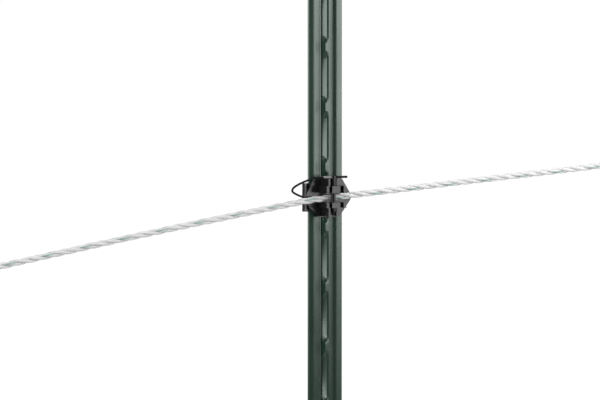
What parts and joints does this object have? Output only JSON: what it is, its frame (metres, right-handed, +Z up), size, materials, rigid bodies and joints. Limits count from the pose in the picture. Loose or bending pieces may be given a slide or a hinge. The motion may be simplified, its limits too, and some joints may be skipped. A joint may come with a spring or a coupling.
{
  "type": "electric fence line post with pin-lock insulator",
  "caption": "Studded green steel T-post with anchor plate, black clip-on pin-lock insulator and a length of twisted white electric fence rope.",
  "frame": {"origin": "on the flat lower end of the post, at the middle of the flange's front; the end that is driven into the ground", "axes": "+Z up along the post, -Y out of the studded front face, +X along the fence line to the right when looking at the studs"},
  "size_m": [0.7867, 0.0481, 1.219],
  "materials": {
    "post_paint": "dark green baked enamel, semi-gloss",
    "black_polymer": "moulded black UV-stable plastic, satin",
    "white_polyrope": "twisted white monofilament strands with pale blue-green tracers and steel conductors",
    "zinc_plate": "bright zinc-plated pressed steel"
  },
  "bodies": {
    "post": {"post_rail": "post_paint", "anchor_plate": "post_paint", "anchor_rivet_left": "post_paint", "anchor_rivet_right": "post_paint", "insulator_body": "black_polymer", "pin_tether": "black_polymer", "rope_left": "white_polyrope", "rope_right": "white_polyrope", "rope_eye_left": "white_polyrope", "rope_eye_right": "white_polyrope", "clamp_left_front": "zinc_plate", "clamp_left_back": "zinc_plate", "clamp_left_bolt_inner": "zinc_plate", "clamp_left_bolt_outer": "zinc_plate", "clamp_left_nut_inner": "zinc_plate", "clamp_left_nut_outer": "zinc_plate", "clamp_right_front": "zinc_plate", "clamp_right_back": "zinc_plate", "clamp_right_bolt_inner": "zinc_plate", "clamp_right_bolt_outer": "zinc_plate", "clamp_right_nut_inner": "zinc_plate", "clamp_right_nut_outer": "zinc_plate"},
    "pin": {"locking_pin": "black_polymer"}
  },
  "joints": [
    {"name": "pin_slide", "type": "slide", "parent": "post", "child": "pin", "axis": [0, 0, 1], "range_m": [0, 0.024], "deforming": ["pin_tether"]}
  ]
}
